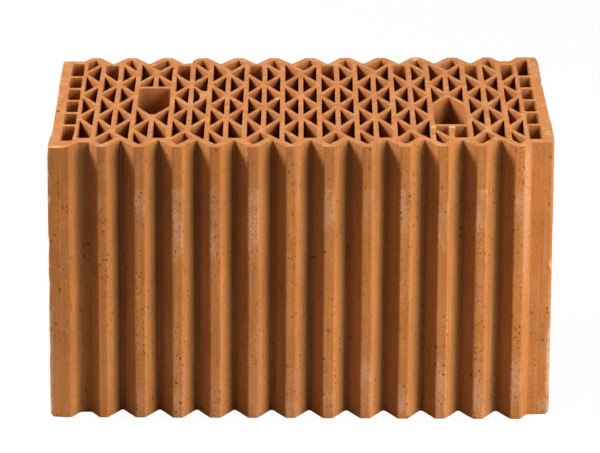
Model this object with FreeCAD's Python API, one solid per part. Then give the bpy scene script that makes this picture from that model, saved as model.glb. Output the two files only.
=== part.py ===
import FreeCAD, Part
import math
import os

# Hollow clay block as it stands on its bed face, cells upright. Millimetres, +Z up.
# The origin is the middle of the bottom face. X runs along the block, from end face to end face.
# The toothed faces look to -Y (front) and +Y (back). The section is extruded: it is the same at every height.

# Overall size
length = 380.0
width = 261.0            # over the ridges of both toothed faces
height = 215.0

# Long straight webs, which run across the block from tooth to tooth
columns = 24             # rows of cells between the end slots
end_zone = 18.6          # end face to the middle of the first web
web = 3.8

# Zigzag braces between two neighbouring webs
rows = 8                 # rows of brace joints, front to back
brace = 3.6
node_step = 64.6         # from one brace joint to the next on the same web

# Toothed faces
ridge_flat = 7.8
valley_depth = 19.0
groove_depth = 12.0      # flat-bottomed groove beside each tongue
groove_shift = 1.0       # that groove lies a little towards the block's middle
land_depth = 11.0        # flat land at the other corner, below the ridges
land_run = 5.2           # sideways from the last ridge to the land
flank_wall = 6.6         # clay between a tooth's flank and its cell
valley_wall = 5.2        # clay between a valley and the cell behind it

# End slots
end_wall = 8.1
end_web = 2.8            # between the slots and the first cells
slot_step = 35.5
slot_web = 4.8
slots = 6
tongue_wall = 16.5       # clay at the end of the front tongue's slot
tip_wall = 7.5           # the same at the back tongue, whose slot runs up into it
land_wall = 8.5          # the same at both lands
tongue_flank = 8.0       # clay between a tongue's flank and its slot

# Grip holes
left_grip = columns // 6             # the web that each hole interrupts
right_grip = columns - left_grip
grip_wall = 5.0
grip_wall_offset = 9.1   # middle of the flat wall to the row of brace joints behind it

# One brace sagged in the wet clay: thin at its left end, and a lump at the right web
sag_column = columns // 4
sag_level = 28.4         # back of the lump
sag_gap = 5.0            # what the lump leaves open beside the left web

# Upright edges: rounded outside and in the grip holes, blunted with a small flat in the cells
corner_radius = 2.5
ridge_radius = 2.0
valley_radius = 1.0
grip_radius = 3.0
cell_blunt = 1.3         # taken off each side of a corner
most_of_run = 0.45       # the share of a side that a rounding may take
least_cell = 3.5         # no cell is cut narrower than this

pitch = (length - 2 * end_zone) / columns
tooth_run = pitch - ridge_flat / 2       # sideways reach of a full flank
tip = -width / 2                         # front ridges
first_row = -rows // 2
last_row = first_row + rows - 1


def web_x(index):
    return (index - columns / 2) * pitch


def row_y(row):
    return node_step * (0.25 + 0.5 * row)


left_wall = row_y(1) - grip_wall_offset      # middles of the grip holes' flat walls
right_wall = row_y(-3) + grip_wall_offset
groove = web_x(0) + pitch / 2 + groove_shift # middle of the groove beside the front tongue


def joint(column, row):
    # Even rows sit on the left web of columns 0, 1, 4, 5 and so on, and on the right web of the others
    on_left = (row % 2 == 0) == (column % 4 < 2)
    return (web_x(column if on_left else column + 1), row_y(row))


def beside(start, end, gap):
    # The half-plane on the left hand of the way from start to end, kept a gap away from that line
    dx = end[0] - start[0]
    dy = end[1] - start[1]
    span = math.hypot(dx, dy)
    a = -dy / span
    b = dx / span
    return (a, b, a * start[0] + b * start[1] + gap)


def above(column, row, gap=brace / 2):
    ends = sorted([joint(column, row), joint(column, row + 1)])
    return beside(ends[0], ends[1], gap)


def below(column, row):
    ends = sorted([joint(column, row), joint(column, row + 1)])
    return beside(ends[1], ends[0], brace / 2)


def behind(level):
    return (0.0, 1.0, level)


def before(level):
    return (0.0, -1.0, -level)


def turned(side):
    # The back of the block is its front turned half round the upright axis
    return (-side[0], -side[1], side[2])


def clipped(points, side):
    a, b, c = side
    kept = []
    for index, point in enumerate(points):
        last = points[index - 1]
        here = a * point[0] + b * point[1] - c
        there = a * last[0] + b * last[1] - c
        if here * there < 0:
            share = there / (there - here)
            kept.append((last[0] + share * (point[0] - last[0]), last[1] + share * (point[1] - last[1])))
        if here >= 0:
            kept.append(point)
    return kept


def region(left, right, sides):
    points = [(left, -width), (right, -width), (right, width), (left, width)]
    for side in sides:
        points = clipped(points, side)
    return points


def column_region(first, last, sides):
    # The space between two webs, cut back by the sides
    return region(web_x(first) + web / 2, web_x(last) - web / 2, sides)


def tooth_sides(column):
    # The inner faces of the front tooth of an odd column
    middle = web_x(column) + pitch / 2
    ridge_left = (middle - ridge_flat / 2, tip)
    ridge_right = (middle + ridge_flat / 2, tip)
    valley_left = (middle - pitch, tip + valley_depth)
    valley_right = (middle + pitch, tip + valley_depth)
    return [beside(valley_left, ridge_left, flank_wall), beside(ridge_right, valley_right, flank_wall)]


def valley_faces(column):
    # The two faces of the slanting wall behind a front valley, in line with the valley's right flank
    foot = (web_x(column) + pitch / 2, tip + valley_depth)
    edge = (foot[0] + tooth_run, tip)
    return beside(foot, edge, valley_wall), beside(edge, foot, brace - valley_wall)


def front_sides(column, flat):
    # Odd columns run into a front tooth, even ones end behind a valley
    if column % 2:
        return tooth_sides(column)
    if flat:
        return [behind(tip + valley_depth + valley_wall)]
    return [valley_faces(column)[0]]


def end_sides(column):
    flat_front = column % 4 == 0
    flat_back = column % 4 == 1 or column == columns - 1
    back = front_sides(columns - 1 - column, flat_back)
    return front_sides(column, flat_front) + [turned(side) for side in back]


def column_cells(column):
    # Each cell lies round one brace joint, between the braces below and above it.
    # Behind a valley the last brace is left out, and the shell itself closes the cell.
    front_tooth = column % 2 == 1
    front_row = first_row if front_tooth else first_row + 1
    back_row = last_row - 1 if front_tooth else last_row
    found = []
    for row in range(front_row, back_row + 1):
        lower = above(column, row - 1)
        upper = below(column, row)
        left = column
        right = column + 1
        sides = end_sides(column)
        if front_tooth or row > front_row:
            sides.append(lower)
        if row < back_row or not front_tooth:
            sides.append(upper)
        if row == first_row and column % 4 == 1:
            # This tooth's cell reaches under the slanting wall of the next column
            right = column + 2
            sides.append(valley_faces(column + 1)[1])
        if row == last_row and column % 4 == 0 and column > 0:
            left = column - 1
            sides.append(turned(valley_faces(columns - column)[1]))
        if column == sag_column and row == 0:
            sides.append((-1.0, 0.0, -web_x(column) - web / 2 - sag_gap))
        if column == sag_column and row == 1:
            sides.remove(lower)
            sides.append(above(column, row - 1, 0.0))
            sides.append(behind(sag_level))
        if column in (left_grip - 1, left_grip):
            if row in (-1, 0):
                continue
            if row == 1:
                sides.remove(lower)
                sides.append(behind(left_wall + grip_wall / 2))
        if column in (right_grip - 1, right_grip):
            if row in (-2, -1):
                continue
            if row == -3:
                sides.remove(upper)
                sides.append(before(right_wall - grip_wall / 2))
        found.append(column_region(left, right, sides))
    return found


def left_grip_hole():
    # Flat wall at the back, two braces that meet in a point at the front
    sides = [above(left_grip - 1, -2), above(left_grip, -2)]
    sides.append(before(left_wall - grip_wall / 2))
    return column_region(left_grip - 1, left_grip + 1, sides)


def right_grip_hole():
    # Flat wall at the front, two braces that meet in a point at the back
    sides = [below(right_grip - 1, -1), below(right_grip, -1)]
    sides.append(behind(right_wall + grip_wall / 2))
    return column_region(right_grip - 1, right_grip + 1, sides)


def end_slots():
    outer = length / 2 - end_wall
    inner = web_x(columns) - web / 2 + end_web
    left_ends = (tip + tongue_wall, -tip - land_depth - land_wall)
    right_ends = (tip + land_depth + land_wall, -tip - tip_wall)
    tongue_foot = (groove, tip + valley_depth)
    tongue_edge = (groove - tooth_run, tip)
    front_tongue = beside(tongue_edge, tongue_foot, tongue_flank)
    ends = ((-outer, -inner, left_ends, front_tongue), (inner, outer, right_ends, turned(front_tongue)))
    found = []
    for index in range(slots):
        low = (index - slots / 2) * slot_step + slot_web / 2
        high = (index + 1 - slots / 2) * slot_step - slot_web / 2
        for left, right, reach, tongue_side in ends:
            front = reach[0] if index == 0 else low
            back = reach[1] if index == slots - 1 else high
            found.append(region(left, right, [behind(front), before(back), tongue_side]))
    return found


def valley(middle, depth):
    # A full valley comes to a point, and a shallower one has a flat floor
    reach = tooth_run * (1 - depth / valley_depth)
    if reach <= 0:
        return [(middle, tip + valley_depth, valley_radius)]
    return [(middle - reach, tip + depth, valley_radius), (middle + reach, tip + depth, valley_radius)]


def front_outline():
    points = [(-length / 2, tip, corner_radius), (groove - tooth_run, tip, ridge_radius)]
    points += valley(groove, groove_depth)
    points.append((groove + tooth_run, tip, ridge_radius))
    for column in range(1, columns, 2):
        middle = web_x(column) + pitch / 2
        if column > 1:
            points += valley(middle - pitch, valley_depth)
            points.append((middle - ridge_flat / 2, tip, ridge_radius))
        points.append((middle + ridge_flat / 2, tip, ridge_radius))
    last_ridge = web_x(columns - 1) + pitch / 2 + ridge_flat / 2
    points.append((last_ridge + land_run, tip + land_depth, valley_radius))
    points.append((length / 2, tip + land_depth, corner_radius))
    return points


def runs(points, index):
    # A corner, and the ways from it to the corners before and after it
    corner = FreeCAD.Vector(points[index][0], points[index][1], 0)
    last = points[index - 1]
    following = points[(index + 1) % len(points)]
    back = FreeCAD.Vector(last[0], last[1], 0) - corner
    ahead = FreeCAD.Vector(following[0], following[1], 0) - corner
    return corner, back, ahead


def rounded_wire(points):
    # Straight runs joined by tangent arcs, each no larger than its two runs allow
    arcs = []
    for index in range(len(points)):
        corner, back, ahead = runs(points, index)
        half_turn = (math.pi - back.getAngle(ahead)) / 2
        wanted = points[index][2] * math.tan(half_turn)
        reach = min(wanted, most_of_run * back.Length, most_of_run * ahead.Length)
        back.normalize()
        ahead.normalize()
        middle = back + ahead
        middle.normalize()
        radius = reach / math.tan(half_turn)
        depth = radius / math.cos(half_turn) - radius
        arcs.append((corner + back * reach, corner + middle * depth, corner + ahead * reach))
    edges = []
    for index, (start, middle, end) in enumerate(arcs):
        edges.append(Part.LineSegment(arcs[index - 1][2], start).toShape())
        edges.append(Part.Arc(start, middle, end).toShape())
    return Part.Wire(edges)


def blunted_wire(points):
    corners = []
    for index in range(len(points)):
        corner, back, ahead = runs(points, index)
        reach = min(cell_blunt, most_of_run * back.Length, most_of_run * ahead.Length)
        back.normalize()
        ahead.normalize()
        corners.append(corner + back * reach)
        corners.append(corner + ahead * reach)
    return Part.makePolygon(corners + corners[:1])


def wide_enough(points):
    if len(points) < 3:
        return False
    across = [point[0] for point in points]
    along = [point[1] for point in points]
    return max(across) - min(across) >= least_cell and max(along) - min(along) >= least_cell


outline = front_outline()
outline += [(-x, -y, radius) for x, y, radius in front_outline()]
wires = [rounded_wire(outline)]
for hole in (left_grip_hole(), right_grip_hole()):
    wires.append(rounded_wire([(x, y, grip_radius) for x, y in hole]))
cells = end_slots()
for column in range(columns):
    cells += column_cells(column)
wires += [blunted_wire(points) for points in cells if wide_enough(points)]
section = Part.makeFace(wires, "Part::FaceMakerBullseye")
block = section.extrude(FreeCAD.Vector(0, 0, height))

os.makedirs("parts", exist_ok=True)
block.exportStep("parts/clay_block.step")
print("holes", len(wires) - 1, "solids", len(block.Solids), "valid", block.isValid())
print("volume dm3", round(block.Volume / 1e6, 3), "box", block.BoundBox)
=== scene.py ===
import math
import bmesh
import bpy
from mathutils import Matrix, Vector, noise


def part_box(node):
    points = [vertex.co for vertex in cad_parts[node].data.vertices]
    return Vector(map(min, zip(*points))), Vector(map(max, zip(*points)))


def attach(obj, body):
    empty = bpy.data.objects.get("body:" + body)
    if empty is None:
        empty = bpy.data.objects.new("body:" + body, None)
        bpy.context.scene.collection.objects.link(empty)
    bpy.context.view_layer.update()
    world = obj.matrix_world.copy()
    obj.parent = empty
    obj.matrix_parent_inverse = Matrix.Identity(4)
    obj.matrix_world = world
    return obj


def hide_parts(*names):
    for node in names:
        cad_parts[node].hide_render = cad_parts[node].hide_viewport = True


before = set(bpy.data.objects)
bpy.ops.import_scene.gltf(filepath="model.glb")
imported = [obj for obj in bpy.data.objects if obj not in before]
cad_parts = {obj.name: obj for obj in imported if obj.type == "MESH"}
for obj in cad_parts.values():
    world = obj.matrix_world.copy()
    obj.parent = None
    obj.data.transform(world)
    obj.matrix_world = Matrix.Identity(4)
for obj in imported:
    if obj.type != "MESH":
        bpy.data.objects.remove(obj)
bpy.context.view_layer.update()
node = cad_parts["clay_block"]
blockLow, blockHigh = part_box("clay_block")
blockHeight = blockHigh.z
tiny = 1e-6    # points closer than this are one
print("frame loaded:", [round(v, 4) for v in (*blockLow, *blockHigh)])


# The block: the frame's walls, divided finer, with worn mouths on both cut faces

blockShape = {
    "flatAngle": 0.02,         # walls that turn less than this become one flat wall
    "faceStep": 0.0026,        # spacing of points along the outside
    "cellStep": 0.0060,        # the same along the cell walls
    "faceLevels": 28,          # rows of points up the outside
    "topWear": 0.0007,         # rounding of the outer rim on the upper cut face
    "topSteps": 4,
    "bedWear": 0.0010,         # the same on the lower cut face
    "bedSteps": 3,
    "cellWear": 0.0004,        # rounding of the cells' mouths
    "leastWear": 0.35,         # the lightest and the heaviest wear, against the usual one
    "mostWear": 1.4,
    "wearChange": 0.7,         # how much the wear changes along a rim
    "wearScale": 60.0,         # how fast it changes, per metre
    "fineScale": 4,            # a finer change on top is this much faster
    "fineShare": 0.5,          # and has this share of the strength
    "mostInward": 0.0018,      # no rim is worn further inwards, or its rings would cross in the corners
    "sharpest": 0.6,           # smallest cosine that a rim's way inwards is divided by in a sharp corner
    "rimFlat": 0.0002,         # narrow flat between a rim and the cut face
    "cutFrom": 0.6,            # the cut face's look starts this share down a rim's rounding
    "cutFull": 0.2,            # and is full from here up
    "waver": 0.00022,          # unevenness of the outside
    "waverScale": 26.0,
    "waverSeed": 7,
    # the cut is not square: where along X, how high
    "wedge": ((blockLow.x, -0.0003), (-0.02, 0.0004), (blockHigh.x, 0.0020)),
    # the end faces are warped, fading out over the zone: where along Y, how far to +X
    "leftZone": 0.033,
    "leftEnd": ((blockLow.y, -0.0003), (-0.087, 0.0015), (0.030, 0.0004), (0.036, 0.0009), (0.044, -0.0002),
                (0.120, -0.0004), (blockHigh.y, 0.0002)),
    "rightZone": 0.014,
    "rightEnd": ((blockLow.y, 0.0003), (-0.098, 0.0008), (-0.070, 0.0008), (-0.045, 0.0002), (0.038, -0.0002),
                 (0.050, -0.0008), (0.064, 0.0000), (0.106, 0.0001), (0.120, -0.0002),
                 (blockHigh.y, -0.0012)),
    "rimChip": {               # broken off a back tooth
        "from": -0.0925,       # along X
        "to": -0.0861,
        "back": 0.1127,        # beyond this Y
        "above": blockHeight - 0.023,
        "share": 0.9,          # of what stands beyond that Y
    },
    "cornerWear": 0.0024,      # extra rounding at the bed face's four corners
    "cornerReach": 0.011,
    "cornerBand": 0.012,       # along Y, from a toothed face
    "cornerLean": 0.0015,      # the end faces lean in there by this much
    "leanHeight": 0.006,
    "nick": 0.0014,            # deepest nick in the upright corners
    "nickScale": 170.0,
    "nickReach": 0.003,        # nicks fade out over this length along X
    "nickBand": 0.016,         # and lie within this much of a toothed face
    "nickShare": 0.7,          # of its depth along X and along Y
    "smoothAngle": math.radians(32),
}


def isLevel(edge, level):
    return all(abs(v.co.z - level) < tiny for v in edge.verts)


def markOutside(bm):
    outside = bm.faces.layers.int.new("outside")
    first = min(bm.faces, key=lambda f: f.calc_center_median().x)
    waiting = [first]
    first[outside] = 1
    while waiting:
        for edge in waiting.pop().edges:
            for face in edge.link_faces:
                if not face[outside]:
                    face[outside] = 1
                    waiting.append(face)
    return outside


def divideWalls(bm, outside):
    # even points along every wall, then rows up the outside
    groups = {}
    for face in bm.faces:
        step = blockShape["faceStep"] if face[outside] else blockShape["cellStep"]
        for edge in face.edges:
            if isLevel(edge, 0) or isLevel(edge, blockHeight):
                cuts = int(edge.calc_length() / step)
                if cuts:
                    groups.setdefault(cuts, []).append(edge)
    for cuts, edges in groups.items():
        bmesh.ops.subdivide_edges(bm, edges=edges, cuts=cuts, use_grid_fill=True)
    rows = blockShape["faceLevels"]
    for row in range(1, rows):
        faces = [f for f in bm.faces if f[outside]]
        edges = dict.fromkeys(e for f in faces for e in f.edges)    # kept in order, unlike a set
        verts = dict.fromkeys(v for f in faces for v in f.verts)
        bmesh.ops.bisect_plane(bm, geom=[*faces, *edges, *verts], dist=tiny,
                               plane_co=(0, 0, blockHeight * row / rows), plane_no=(0, 0, 1))


def markCells(bm, outside):
    # "inner" is 1 on the cell walls and "cut" will be 1 on the cut faces, for the clay to tell them apart
    inner = bm.verts.layers.float.new("inner")
    cut = bm.verts.layers.float.new("cut")
    for face in bm.faces:
        if not face[outside]:
            for vert in face.verts:
                vert[inner] = 1.0
    return inner, cut


def atCorner(point):
    # 1 at the bed face's four corners, fading to 0 around them
    inwards = max(0.0, blockHigh.y - blockShape["cornerBand"] - abs(point.y))
    away = math.hypot(blockHigh.x - abs(point.x), inwards)
    return max(0.0, 1 - away / blockShape["cornerReach"]) if point.z < blockHeight / 2 else 0.0


def wearAt(point, wear):
    scale = blockShape["wearScale"]
    fine = noise.noise(point * scale * blockShape["fineScale"])
    grain = noise.noise(point * scale) + blockShape["fineShare"] * fine
    change = min(blockShape["mostWear"], 1 + blockShape["wearChange"] * grain)
    extra = blockShape["cornerWear"] * atCorner(point)
    return (wear + extra) * max(blockShape["leastWear"], change)


def along(stops, place):
    # straight lines between the stops
    for (low, first), (high, second) in zip(stops, stops[1:]):
        if place <= high:
            return first + (second - first) * max(0.0, place - low) / (high - low)
    return stops[-1][1]


def roundMouths(bm, inner, cut, level, inward, wear, steps):
    # inward is -1 under the top face and +1 above the bed face
    edges = [e for e in bm.edges if e.is_boundary and isLevel(e, level)]
    rim = {}
    for vert in dict.fromkeys(v for e in edges for v in e.verts):
        normals = [f.normal.xy.normalized() for f in vert.link_faces]
        middle = sum(normals, Vector((0, 0))).normalized()
        reach = 1 / max(blockShape["sharpest"], middle.dot(normals[0]))
        radius = wearAt(vert.co, wear if vert[inner] == 0 else blockShape["cellWear"])
        rim[vert] = (vert.co.xy.copy(), -middle * reach, radius)
        vert.co.z = level + inward * radius
    turns = [math.pi / 2 * (i + 1) / steps for i in range(steps)]
    rings = [(1 - math.cos(a), 1 - math.sin(a), 0) for a in turns] + [(1, 0, blockShape["rimFlat"])]
    cutFrom, cutFull = blockShape["cutFrom"], blockShape["cutFull"]
    for out, down, flat in rings:
        grown = bmesh.ops.extrude_edge_only(bm, edges=edges)["geom"]
        newVerts = [g for g in grown if isinstance(g, bmesh.types.BMVert)]
        following = {}
        for vert in newVerts:
            source = next(e.other_vert(vert) for e in vert.link_edges if e.other_vert(vert) in rim)
            place, away, radius = rim[source]
            shift = away * (min(radius, blockShape["mostInward"]) * out + flat)
            vert.co = (place.x + shift.x, place.y + shift.y, level + inward * radius * down)
            vert[inner] = 0.0
            vert[cut] = max(0.0, min(1.0, (cutFrom - down) / (cutFrom - cutFull)))
            following[vert] = rim[source]
        edges = [g for g in grown if isinstance(g, bmesh.types.BMEdge)]
        rim = following
    bmesh.ops.triangle_fill(bm, edges=edges, use_beauty=True, normal=(0, 0, -inward))


def nickAt(co):
    # pushed towards the middle of the block, close to the upright corners only
    close = max(0.0, 1 - (blockHigh.x - abs(co.x)) / blockShape["nickReach"])
    if abs(co.y) <= blockHigh.y - blockShape["nickBand"]:
        close = 0.0
    depth = blockShape["nick"] * close * max(0.0, noise.noise(co * blockShape["nickScale"]))
    return Vector((math.copysign(depth, co.x), math.copysign(depth, co.y), 0)) * blockShape["nickShare"]


def settle(bm):
    # small unevenness of a dried and fired piece
    chip = blockShape["rimChip"]
    noise.seed_set(blockShape["waverSeed"])    # noise_vector would differ from run to run without it
    for vert in bm.verts:
        co = vert.co
        push = noise.noise_vector(co * blockShape["waverScale"]) * blockShape["waver"]
        push.z = along(blockShape["wedge"], co.x) * co.z / blockHeight
        end = "left" if co.x < 0 else "right"
        share = max(0.0, 1 - (blockHigh.x - abs(co.x)) / blockShape[end + "Zone"])
        push.x += along(blockShape[end + "End"], co.y) * share
        push -= nickAt(co)
        lean = max(0.0, 1 - co.z / blockShape["leanHeight"]) ** 2 * atCorner(co)
        push.x -= math.copysign(blockShape["cornerLean"] * lean, co.x)
        if chip["from"] < co.x < chip["to"] and co.y > chip["back"] and co.z > chip["above"]:
            push.y -= chip["share"] * (co.y - chip["back"])
        vert.co = co + push


def makeBlock():
    bm = bmesh.new()
    bm.from_mesh(node.data)
    bmesh.ops.remove_doubles(bm, verts=bm.verts, dist=tiny)
    bm.normal_update()
    cutFaces = [f for f in bm.faces if abs(f.normal.z) > 0.5]
    bmesh.ops.delete(bm, geom=cutFaces, context="FACES")
    bmesh.ops.dissolve_limit(bm, angle_limit=blockShape["flatAngle"], verts=bm.verts, edges=bm.edges)
    outside = markOutside(bm)
    divideWalls(bm, outside)
    inner, cut = markCells(bm, outside)
    bm.normal_update()
    roundMouths(bm, inner, cut, blockHeight, -1, blockShape["topWear"], blockShape["topSteps"])
    roundMouths(bm, inner, cut, 0.0, 1, blockShape["bedWear"], blockShape["bedSteps"])
    settle(bm)
    bmesh.ops.recalc_face_normals(bm, faces=bm.faces)
    mesh = bpy.data.meshes.new("firedBlock")
    bm.to_mesh(mesh)
    bm.free()
    mesh.shade_smooth()
    mesh.set_sharp_from_angle(angle=blockShape["smoothAngle"])
    block = bpy.data.objects.new("firedBlock", mesh)
    bpy.context.scene.collection.objects.link(block)
    triangles = sum(len(p.vertices) - 2 for p in mesh.polygons)
    print("block:", len(mesh.vertices), "points,", triangles, "triangles")
    return block


# Fired clay

clayLook = {
    "wall": (0.46, 0.162, 0.038, 1),       # faces shaped by the die
    "valley": (0.40, 0.168, 0.050, 1),     # painted shade: darker and duller in the valleys between the ridges
    "blush": (0.46, 0.186, 0.068, 1),      # pinkish blotches
    "cut": (0.52, 0.200, 0.065, 1),        # faces cut by the wire
    "rust": (0.44, 0.138, 0.034, 1),       # redder spots on the cut faces
    "dust": (0.62, 0.350, 0.190, 1),       # pale smears there
    "mouth": (0.40, 0.150, 0.049, 1),      # cell walls close to the cut faces
    "deepShade": (0.33, 0.138, 0.034, 1),       # painted shade on the cell walls far inside
    "pore": (0.17, 0.035, 0.008, 1),
    "scuff": (0.60, 0.350, 0.205, 1),
    "fresh": (0.75, 0.45, 0.19, 1),        # newly chipped clay
    "roughness": 0.92,
    "specular": 0.08,
    "relief": {"strength": 0.5, "distance": 0.0004, "streak": 0.8, "pore": 1.5},
    "ridgePlane": blockHigh.y - 0.0013,    # the ridges' scuffs lie beyond this Y
    "ridgeFade": 0.0008,
    "valleyDepth": 0.012,
    "endPlane": blockHigh.x - 0.0035,      # the corners' scuffs lie beyond this X
    "endFade": 0.0022,
    "landStart": blockHigh.x - 0.018,      # X where the plain corner lands begin
    "landFade": 0.002,
    "toothFoot": blockHigh.y - 0.0225,     # the corners' wear stays beyond this Y
    "toothFade": 0.008,
    "mouthDepth": 0.006,                   # the mouths' colour starts to turn into painted shade this deep in a cell and has become the full painted shade here
    "deepFrom": 0.040,                     # and has become the deep one here
    "rubbedTop": blockHeight - 0.031,      # a belt rubbed on the ridges starts at this height
    "rubbedEdge": 0.002,
    "rubbedFull": blockHeight - 0.061,     # it fades from here
    "rubbedFoot": blockHeight - 0.103,     # to here
    "spotStrength": 0.5,
    "dotEdge": 0.08,                       # softness of the round spots
    "clouds": {                            # noise per metre along X, Y and Z, its detail and roughness
        "blotch": ((80, 80, 40), 5.0, 0.65),
        "rust": ((150, 150, 150), 4.0, 0.6),
        "dust": ((95, 95, 95), 4.0, 0.6),
        "streak": ((420, 420, 5), 2.0, 0.55),
        "grain": ((800, 800, 700), 4.0, 0.7),
        "mottle": ((45, 45, 22), 6.0, 0.65),
        "rub": ((38, 38, 17), 8.0, 0.7),
        "bite": ((90, 90, 48), 6.0, 0.75),
        "crumb": ((650, 650, 520), 3.0, 0.7),
        "faint": ((300, 300, 8), 3.0, 0.55),
        "swarm": ((24, 24, 14), 2.0, 0.55),
        "flock": ((34, 34, 15), 4.0, 0.55),
        "hairline": ((60, 60, 900), 1.0, 0.55),
        "ragged": ((500, 500, 500), 3.0, 0.55),
    },
    "dots": {                              # round spots per metre along X, Y and Z, how rare, how wide
        "pore": ((330, 330, 250), 0.40, 0.34),
        "smallPore": ((560, 560, 450), 0.50, 0.30),
        "speck": ((640, 640, 540), 0.30, 0.46),
    },
    "spans": {                             # the first two values become the last two, evenly in between
        "blotchFoot": (0.11, 0.0, 0.0, 0.10),         # by height: more blotches towards the foot
        "blotch": (0.46, 0.66, 0.0, 0.60),
        "rust": (0.50, 0.66, 0.0, 0.6),
        "dust": (0.53, 0.68, 0.0, 0.5),
        "streak": (0.3, 0.7, 0.90, 1.08),
        "grain": (0.25, 0.75, 0.80, 1.16),
        "mottle": (0.3, 0.7, 0.86, 1.10),
        "paler": (blockHeight, 0.0, 0.90, 1.10),      # by height: paler walls towards the foot
        "ridgeFeet": (0.060, 0.015, 0.0, 1.0),        # by height: the ridges' feet are rubbed too
        "belt": (0.0, 1.0, -0.10, 0.06),
        "leftEnd": (-0.16, -0.10, -0.09, 0.0),        # along X: less rubbed at the left end
        "rub": (0.52, 0.66, 0.0, 0.65),
        "bedEdge": (0.012, 0.003, 0.0, 1.0),          # by height: the end faces' lower edges
        "wornBelow": (0.190, 0.060, -0.06, 0.05),     # by height: corners more worn lower down
        "wornFoot": (0.014, 0.004, 0.0, 0.10),        # by height: and most at the foot
        "worn": (0.50, 0.58, 0.0, 1.0),
        "crumb": (0.40, 0.62, 0.35, 1.0),
        "faint": (0.58, 0.75, 0.0, 0.30),
        "faintInside": (0.0, 1.0, 1.0, 0.0),          # on a cell wall: no faint scuffs
        "scuffOnCut": (0.0, 1.0, 1.0, 0.2),           # on a cut face: weak scuffs
        "swarm": (0.36, 0.60, 0.30, 0.95),
        "poreInside": (0.0, 1.0, 1.0, 0.4),           # on a cell wall: weak pores
        "flock": (0.42, 0.60, 0.0, 0.8),
        "hairline": (0.735, 0.775, 0.0, 0.4),
        "ragged": (0.3, 0.7, -0.35, 0.35),
        "patch": (1.0, 0.7, 0.0, 1.0),
    },
    "freshChips": (                        # centre, half size
        ((0.1009, -0.0767, 0.2162), (0.0028, 0.0026, 0.003)),
        ((0.1160, -0.0772, 0.2163), (0.0034, 0.0030, 0.003)),
        ((0.0920, 0.1245, 0.2160), (0.0032, 0.0022, 0.003)),
        ((-0.0200, 0.0055, 0.2155), (0.0042, 0.0016, 0.002)),
        ((-0.1835, -0.1302, 0.2142), (0.0070, 0.0016, 0.0010)),
    ),
    "rubbedSpots": (
        ((0.1690, -0.1220, 0.1650), (0.0042, 0.0120, 0.0750)),
        ((0.1065, -0.1305, 0.0280), (0.0056, 0.0030, 0.0200)),
        ((0.1635, -0.1305, 0.0300), (0.0056, 0.0030, 0.0200)),
        ((0.1350, -0.1305, 0.0200), (0.0050, 0.0030, 0.0150)),
        ((0.1855, -0.1190, 0.0090), (0.0050, 0.0060, 0.0080)),
    ),
    "darkMarks": (
        ((-0.1868, -0.0305, 0.2148), (0.0018, 0.0030, 0.002)),
    ),
}


def addNode(tree, kind, **settings):
    made = tree.nodes.new(kind)
    for name, value in settings.items():
        if hasattr(made, name):
            setattr(made, name, value)
        else:
            made.inputs[name].default_value = value
    return made


def reckon(tree, operation, first, *others):
    # one value from two or more, worked out in their order
    for other in others:
        maths = addNode(tree, "ShaderNodeMath", operation=operation)
        for socket, value in zip(maths.inputs, (first, other)):
            if isinstance(value, bpy.types.NodeSocket):
                tree.links.new(value, socket)
            else:
                socket.default_value = value
        first = maths.outputs[0]
    return first


def unsigned(tree, value):
    return reckon(tree, "ABSOLUTE", value, 0.0)    # this operation uses the first value only


def ranged(tree, value, low, high, first=0.0, last=1.0):
    span = addNode(tree, "ShaderNodeMapRange")
    for name, setting in (("From Min", low), ("From Max", high), ("To Min", first), ("To Max", last)):
        span.inputs[name].default_value = setting
    tree.links.new(value, span.inputs["Value"])
    return span.outputs["Result"]


def spanned(tree, value, name):
    return ranged(tree, value, *clayLook["spans"][name])


def tinted(tree, factor, under, colour):
    mix = addNode(tree, "ShaderNodeMixRGB", Color2=colour)
    tree.links.new(factor, mix.inputs["Fac"])
    if isinstance(under, bpy.types.NodeSocket):
        tree.links.new(under, mix.inputs["Color1"])
    else:
        mix.inputs["Color1"].default_value = under
    return mix.outputs["Color"]


def cloud(tree, at, name):
    scale, detail, roughness = clayLook["clouds"][name]
    stretch = addNode(tree, "ShaderNodeMapping", Scale=scale)
    texture = addNode(tree, "ShaderNodeTexNoise", Scale=1.0, Detail=detail, Roughness=roughness)
    tree.links.new(at["place"], stretch.inputs["Vector"])
    tree.links.new(stretch.outputs[0], texture.inputs["Vector"])
    return texture.outputs["Fac"]


def spannedCloud(tree, at, name):
    return spanned(tree, cloud(tree, at, name), name)


def dots(tree, at, name):
    # small round spots: one in some of the texture's cells, of uneven size
    scale, rare, widest = clayLook["dots"][name]
    stretch = addNode(tree, "ShaderNodeMapping", Scale=scale)
    cells = addNode(tree, "ShaderNodeTexVoronoi", Scale=1.0)
    pick = addNode(tree, "ShaderNodeSeparateColor")
    tree.links.new(at["place"], stretch.inputs["Vector"])
    tree.links.new(stretch.outputs[0], cells.inputs["Vector"])
    tree.links.new(cells.outputs["Color"], pick.inputs[0])
    size = ranged(tree, pick.outputs[0], rare, 1.0, 0.0, widest)
    return ranged(tree, reckon(tree, "SUBTRACT", size, cells.outputs["Distance"]), 0.0, clayLook["dotEdge"])


def patchMask(tree, at, patches):
    # ragged spots at the given places
    ragged = spannedCloud(tree, at, "ragged")
    masks = []
    for centre, half in patches:
        local = addNode(tree, "ShaderNodeMapping", vector_type="TEXTURE", Location=centre, Scale=half)
        far = addNode(tree, "ShaderNodeVectorMath", operation="LENGTH")
        tree.links.new(at["place"], local.inputs["Vector"])
        tree.links.new(local.outputs[0], far.inputs[0])
        masks.append(spanned(tree, reckon(tree, "ADD", far.outputs["Value"], ragged), "patch"))
    return reckon(tree, "MAXIMUM", *masks)


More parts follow.
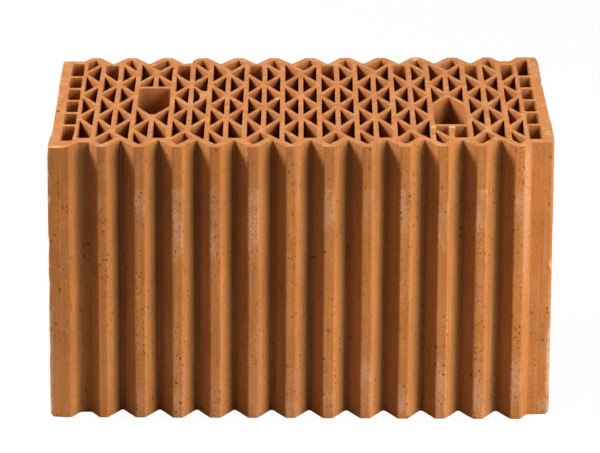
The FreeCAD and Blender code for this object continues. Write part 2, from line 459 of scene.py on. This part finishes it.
def claySockets(tree):
    # what the look depends on: the place, and the kind of face
    at = {"place": addNode(tree, "ShaderNodeTexCoord").outputs["Object"]}
    apart = addNode(tree, "ShaderNodeSeparateXYZ")
    tree.links.new(at["place"], apart.inputs[0])
    for name in ("inner", "cut"):
        at[name] = addNode(tree, "ShaderNodeAttribute", attribute_name=name).outputs["Fac"]
    at["x"], at["height"] = apart.outputs["X"], apart.outputs["Z"]
    at["sideways"], at["backwards"] = unsigned(tree, apart.outputs["X"]), unsigned(tree, apart.outputs["Y"])
    ridge, land = clayLook["ridgePlane"], clayLook["landStart"]
    at["ridge"] = ranged(tree, at["backwards"], ridge, ridge + clayLook["ridgeFade"])
    at["between"] = ranged(tree, at["sideways"], land + clayLook["landFade"], land)    # the corner lands
    return at


def clayColour(tree, at):
    ridge, middle = clayLook["ridgePlane"], blockHeight / 2
    blotch = reckon(tree, "ADD", cloud(tree, at, "blotch"), spanned(tree, at["height"], "blotchFoot"))
    colour = tinted(tree, spanned(tree, blotch, "blotch"), clayLook["wall"], clayLook["blush"])
    # painted shade: the walls darken from the ridges towards the valleys' floors
    valley = ranged(tree, at["backwards"], ridge, ridge - clayLook["valleyDepth"])
    colour = tinted(tree, reckon(tree, "MULTIPLY", valley, at["between"]), colour, clayLook["valley"])
    colour = tinted(tree, at["cut"], colour, clayLook["cut"])
    for name in ("rust", "dust"):
        smear = reckon(tree, "MULTIPLY", spannedCloud(tree, at, name), at["cut"])
        colour = tinted(tree, smear, colour, clayLook[name])
    colour = tinted(tree, at["inner"], colour, clayLook["mouth"])
    # painted shade: the cell walls darken with depth below each cut face
    fromMiddle = unsigned(tree, reckon(tree, "SUBTRACT", at["height"], middle))
    depth = ranged(tree, fromMiddle, middle - clayLook["mouthDepth"], middle - clayLook["deepFrom"])
    return tinted(tree, reckon(tree, "MULTIPLY", at["inner"], depth), colour, clayLook["deepShade"])


def clayShade(tree, at, streak, grain):
    # die marks run up the walls, and a fine grain lies all over
    paler = reckon(tree, "MAXIMUM", spanned(tree, at["height"], "paler"), at["cut"], at["inner"])
    streak, grain = spanned(tree, streak, "streak"), spanned(tree, grain, "grain")
    return reckon(tree, "MULTIPLY", streak, grain, spannedCloud(tree, at, "mottle"), paler)


def clayScuffs(tree, at):
    # a rubbed belt on the ridges and their feet
    top, height = clayLook["rubbedTop"], at["height"]
    belt = ranged(tree, height, clayLook["rubbedFoot"], clayLook["rubbedFull"])
    belt = reckon(tree, "MULTIPLY", belt, ranged(tree, height, top, top - clayLook["rubbedEdge"]))
    belt = reckon(tree, "MAXIMUM", belt, spanned(tree, height, "ridgeFeet"))
    rub = reckon(tree, "ADD", cloud(tree, at, "rub"), spanned(tree, belt, "belt"),
                 spanned(tree, at["x"], "leftEnd"))
    rubbed = reckon(tree, "MULTIPLY", spanned(tree, rub, "rub"), at["ridge"])

    # worn corners
    end, foot = clayLook["endPlane"], clayLook["toothFoot"]
    edge = ranged(tree, at["backwards"], foot, foot + clayLook["toothFade"])
    edge = reckon(tree, "MAXIMUM", edge, spanned(tree, height, "bedEdge"))
    corner = reckon(tree, "MULTIPLY", ranged(tree, at["sideways"], end, end + clayLook["endFade"]), edge)
    bite = reckon(tree, "ADD", cloud(tree, at, "bite"), spanned(tree, height, "wornBelow"),
                  spanned(tree, height, "wornFoot"))
    worn = reckon(tree, "MULTIPLY", spanned(tree, bite, "worn"), corner)

    # a few spots, and faint upright streaks everywhere
    spots = patchMask(tree, at, clayLook["rubbedSpots"])
    spots = reckon(tree, "MULTIPLY", spots, clayLook["spotStrength"])
    scuff = reckon(tree, "MAXIMUM", rubbed, worn, spots)
    scuff = reckon(tree, "MULTIPLY", scuff, spannedCloud(tree, at, "crumb"))
    faint = spanned(tree, at["inner"], "faintInside")
    faint = reckon(tree, "MULTIPLY", spannedCloud(tree, at, "faint"), faint)
    scuff = reckon(tree, "MAXIMUM", scuff, faint)
    return reckon(tree, "MULTIPLY", scuff, spanned(tree, at["cut"], "scuffOnCut"))


def clayPores(tree, at):
    # pores in loose swarms, specks and hairlines on the ridges, and a few dark marks
    pore = reckon(tree, "MAXIMUM", dots(tree, at, "pore"), dots(tree, at, "smallPore"))
    pore = reckon(tree, "MULTIPLY", pore, spannedCloud(tree, at, "swarm"),
                  spanned(tree, at["inner"], "poreInside"))
    speck = reckon(tree, "MULTIPLY", dots(tree, at, "speck"), at["ridge"], at["between"],
                   spannedCloud(tree, at, "flock"))
    hairline = reckon(tree, "MULTIPLY", spannedCloud(tree, at, "hairline"), at["ridge"])
    return reckon(tree, "MAXIMUM", pore, speck, hairline, patchMask(tree, at, clayLook["darkMarks"]))


def clayMaterial():
    material = bpy.data.materials.new("firedClay")
    material.use_nodes = True
    tree = material.node_tree
    shader = tree.nodes["Principled BSDF"]
    shader.inputs["Roughness"].default_value = clayLook["roughness"]
    shader.inputs["Specular IOR Level"].default_value = clayLook["specular"]
    at = claySockets(tree)
    streak, grain, pores = cloud(tree, at, "streak"), cloud(tree, at, "grain"), clayPores(tree, at)

    shaded = addNode(tree, "ShaderNodeVectorMath", operation="SCALE")
    tree.links.new(clayColour(tree, at), shaded.inputs[0])
    tree.links.new(clayShade(tree, at, streak, grain), shaded.inputs["Scale"])
    colour = tinted(tree, clayScuffs(tree, at), shaded.outputs[0], clayLook["scuff"])
    colour = tinted(tree, pores, colour, clayLook["pore"])
    colour = tinted(tree, patchMask(tree, at, clayLook["freshChips"]), colour, clayLook["fresh"])
    tree.links.new(colour, shader.inputs["Base Color"])

    relief = clayLook["relief"]
    height = reckon(tree, "ADD", grain, reckon(tree, "MULTIPLY", streak, relief["streak"]))
    height = reckon(tree, "SUBTRACT", height, reckon(tree, "MULTIPLY", pores, relief["pore"]))
    bump = addNode(tree, "ShaderNodeBump", Strength=relief["strength"], Distance=relief["distance"])
    tree.links.new(height, bump.inputs["Height"])
    tree.links.new(bump.outputs["Normal"], shader.inputs["Normal"])
    print("material: fired clay")
    return material


# Studio: pale floor, soft light, the photograph's viewing angle

studio = {
    "floorSize": 12.0,
    "floorBounce": 0.38,       # grey that lights the block from below
    "floorWhite": 0.95,        # grey that the camera sees
    "skyStrength": 0.09,
    "lamps": {
        "key": {"place": (0.95, -0.73, 0.65), "size": 1.05, "power": 24.8},
        "topLeft": {"place": (-1.95, 0.26, 1.59), "size": 1.15, "power": 96.0},
    },
    "cameraPlace": (-0.006467, -3.269342, 1.109590),
    "cameraRight": (0.9999895, -0.0005257, 0.0045699),
    "cameraAhead": (0.0017895, 0.9565709, -0.2915074),
    "lens": 261.68,
    "sensor": 36.0,            # in millimetres, like the lens
    "farthest": 30.0,          # how far the camera sees, in metres
}
white = (1, 1, 1, 1)


def grey(level):
    return (level, level, level, 1)


def backgroundRays(tree):
    # camera, mirror and glass rays, which see the white background
    rays = addNode(tree, "ShaderNodeLightPath")
    kinds = ("Is Camera Ray", "Is Glossy Ray", "Is Transmission Ray")
    return reckon(tree, "MAXIMUM", *[rays.outputs[kind] for kind in kinds])


def makeFloor():
    bm = bmesh.new()
    bmesh.ops.create_grid(bm, x_segments=1, y_segments=1, size=studio["floorSize"] / 2)
    mesh = bpy.data.meshes.new("floor")
    bm.to_mesh(mesh)
    bm.free()
    floor = bpy.data.objects.new("floor", mesh)
    bpy.context.scene.collection.objects.link(floor)
    material = bpy.data.materials.new("paleFloor")
    material.use_nodes = True
    tree = material.node_tree
    tree.nodes.clear()
    seen = backgroundRays(tree)
    shown = tinted(tree, seen, grey(studio["floorBounce"]), grey(studio["floorWhite"]))
    diffuse = addNode(tree, "ShaderNodeBsdfDiffuse")
    glow = addNode(tree, "ShaderNodeEmission", Color=white, Strength=1.0)
    blend = addNode(tree, "ShaderNodeMixShader")
    out = addNode(tree, "ShaderNodeOutputMaterial")
    tree.links.new(shown, diffuse.inputs["Color"])
    tree.links.new(reckon(tree, "MULTIPLY", seen, studio["floorWhite"]), blend.inputs["Fac"])
    tree.links.new(diffuse.outputs[0], blend.inputs[1])
    tree.links.new(glow.outputs[0], blend.inputs[2])
    tree.links.new(blend.outputs[0], out.inputs["Surface"])
    mesh.materials.append(material)


def makeSky():
    world = bpy.data.worlds.new("studio")
    bpy.context.scene.world = world
    world.use_nodes = True
    tree = world.node_tree
    tree.nodes.clear()
    seen = addNode(tree, "ShaderNodeBackground", Color=white, Strength=1.0)
    lit = addNode(tree, "ShaderNodeBackground", Color=white, Strength=studio["skyStrength"])
    blend = addNode(tree, "ShaderNodeMixShader")
    out = addNode(tree, "ShaderNodeOutputWorld")
    tree.links.new(backgroundRays(tree), blend.inputs["Fac"])
    tree.links.new(lit.outputs[0], blend.inputs[1])
    tree.links.new(seen.outputs[0], blend.inputs[2])
    tree.links.new(blend.outputs[0], out.inputs["Surface"])


def makeLamps():
    for name, lamp in studio["lamps"].items():
        light = bpy.data.lights.new(name, "AREA")
        light.shape = "DISK"
        light.size = lamp["size"]
        light.energy = lamp["power"]
        held = bpy.data.objects.new(name, light)
        held.location = lamp["place"]
        aim = Vector((0, 0, blockHeight)) - held.location
        held.rotation_euler = aim.to_track_quat("-Z", "Y").to_euler()
        bpy.context.scene.collection.objects.link(held)


def makeCamera():
    lens = bpy.data.cameras.new("camera")
    lens.sensor_width = studio["sensor"]
    lens.lens = studio["lens"]
    lens.clip_end = studio["farthest"]
    camera = bpy.data.objects.new("camera", lens)
    right = Vector(studio["cameraRight"]).normalized()
    ahead = Vector(studio["cameraAhead"]).normalized()
    up = right.cross(ahead)
    turn = Matrix((right, up, -ahead)).transposed().to_4x4()
    camera.matrix_world = Matrix.Translation(studio["cameraPlace"]) @ turn
    bpy.context.scene.collection.objects.link(camera)
    bpy.context.scene.camera = camera


block = makeBlock()
block.data.materials.append(clayMaterial())
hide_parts("clay_block")
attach(block, "root")

makeFloor()
makeSky()
makeLamps()
makeCamera()
bpy.context.scene.view_settings.view_transform = "Standard"
print("studio ready")
